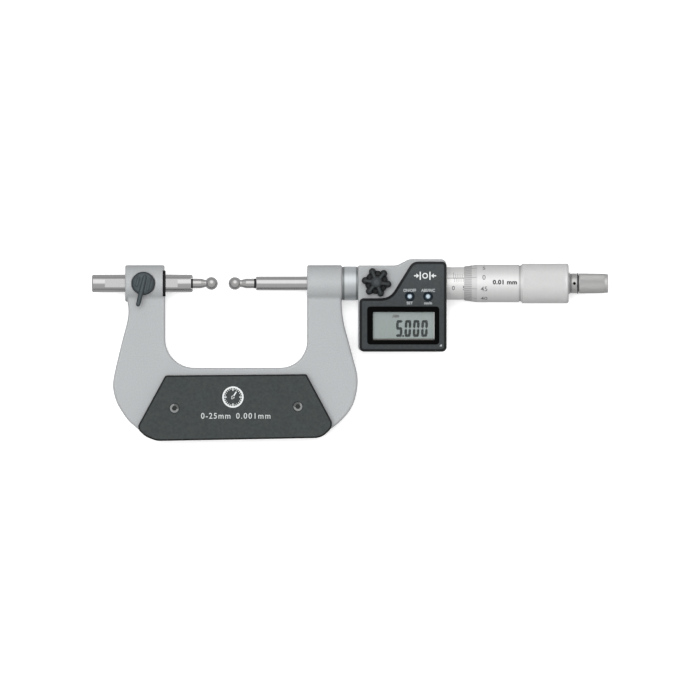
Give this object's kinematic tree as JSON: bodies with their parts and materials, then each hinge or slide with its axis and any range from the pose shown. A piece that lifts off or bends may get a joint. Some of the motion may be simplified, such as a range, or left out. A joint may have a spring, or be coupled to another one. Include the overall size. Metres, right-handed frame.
{
  "type": "ball micrometer",
  "caption": "Outside micrometer with a digital display, a deep U-shaped frame and ball-ended measuring tips, for measuring between curved or toothed surfaces.",
  "frame": {"origin": "middle of the bounding box, on the table, with the micrometer lying on its back", "axes": "+X along the spindle towards the ratchet, +Y from the bottom of the frame up to the spindle, +Z out of the display"},
  "size_m": [0.2424, 0.0853, 0.0257],
  "materials": {
    "frame_paint": "light grey hammered paint",
    "head_paint": "light grey hammered paint on a light alloy casting",
    "plate_plastic": "fine matt, charcoal",
    "screw_steel": "turned, bright",
    "dark_screw": "black oxide",
    "ground_steel": "ground and hardened",
    "ball_steel": "lapped",
    "satin_chrome": "satin chrome plate with dark graduations",
    "thimble_chrome": "satin chrome plate with dark graduations and numbers",
    "ratchet_steel": "satin, finely knurled",
    "black_rubber": "matt",
    "lever_black": "black, semi-gloss",
    "knob_black": "black, moulded",
    "collar_satin": "satin",
    "case_plastic": "fine matt, charcoal, white print",
    "bezel_black": "black",
    "window_clear": "clear",
    "lcd_glass": "grey-green liquid crystal",
    "board_green": "solder mask",
    "button_blue": "dark blue with a light blue middle",
    "brass": "turned",
    "inner_steel": "turned",
    "inner_plastic": "moulded"
  },
  "bodies": {
    "frame": {"frame": "frame_paint", "front_cover_plate": "plate_plastic", "rear_cover_plate": "plate_plastic", "cover_screws": "screw_steel", "anvil_guide_ring": "black_rubber", "anvil_clamp_pad": "brass", "spindle_seal": "black_rubber", "spindle_bushing": "inner_steel", "frame_collar": "collar_satin", "head_housing": "head_paint", "case_gasket": "black_rubber", "display_case": "case_plastic", "display_bezel": "bezel_black", "display_window": "window_clear", "lcd_panel": "lcd_glass", "lcd_connector_strips": "inner_plastic", "circuit_board": "board_green", "tactile_switches": "inner_plastic", "encoder_stator": "board_green", "head_back_cover": "case_plastic", "battery_cap": "case_plastic", "battery_seal": "black_rubber", "battery": "inner_steel", "battery_contact": "brass", "battery_holder": "inner_plastic", "case_screws": "dark_screw", "lock_bush": "brass", "lock_pad": "brass", "inner_sleeve": "inner_steel", "graduated_sleeve": "satin_chrome", "adjusting_nut": "inner_steel"},
    "anvil": {"anvil": "ground_steel", "anvil_ball_tip": "ball_steel", "anvil_tip_ring": "black_rubber"},
    "anvil_lever": {"anvil_clamp_lever": "lever_black", "anvil_clamp_stud": "dark_screw"},
    "lock": {"lock_knob": "knob_black", "lock_screw": "inner_steel"},
    "encoder_rotor": {"encoder_rotor": "inner_steel", "rotor_key": "inner_steel"},
    "spindle": {"spindle": "ground_steel", "spindle_ball_tip": "ball_steel", "spindle_tip_ring": "black_rubber", "thimble": "thimble_chrome", "thimble_grip": "thimble_chrome", "thimble_nut": "inner_steel", "ratchet_body": "ratchet_steel", "ratchet_disc": "dark_screw", "ratchet_spring": "inner_steel", "ratchet_screw": "inner_steel"},
    "ratchet": {"ratchet_knob": "ratchet_steel", "ratchet_cap": "ratchet_steel"},
    "left_button": {"left_button": "button_blue"},
    "right_button": {"right_button": "button_blue"}
  },
  "joints": [
    {"name": "thimble_turn", "type": "hinge", "parent": "frame", "child": "encoder_rotor", "pos_m": [0.02845, 0.03125, 0.0095], "axis": [1, 0, 0], "range_deg": [-3607, 14407]},
    {"name": "spindle_feed", "type": "slide", "parent": "encoder_rotor", "child": "spindle", "axis": [1, 0, 0], "range_m": [-0.005, 0.02]},
    {"name": "ratchet_turn", "type": "hinge", "parent": "spindle", "child": "ratchet", "pos_m": [0.11045, 0.03125, 0.0095], "axis": [1, 0, 0], "continuous": true},
    {"name": "lock_turn", "type": "hinge", "parent": "frame", "child": "lock", "pos_m": [0.01245, 0.03175, 0.0195], "axis": [0, 0, 1], "range_deg": [-60, 90]},
    {"name": "anvil_slide", "type": "slide", "parent": "frame", "child": "anvil", "axis": [1, 0, 0], "range_m": [-0.008, 0.004]},
    {"name": "anvil_lever_turn", "type": "hinge", "parent": "frame", "child": "anvil_lever", "pos_m": [-0.09705, 0.03125, 0.0185], "axis": [0, 0, 1], "range_deg": [0, 60]},
    {"name": "left_button_press", "type": "slide", "parent": "frame", "child": "left_button", "axis": [0, 0, -1], "range_m": [0, 0.0005], "stiffness_N_per_m": 300},
    {"name": "right_button_press", "type": "slide", "parent": "frame", "child": "right_button", "axis": [0, 0, -1], "range_m": [0, 0.0005], "stiffness_N_per_m": 300}
  ],
  "couplings": [
    {"joint": "thimble_turn", "follows": "spindle_feed", "rad_per_m": 12566}
  ]
}
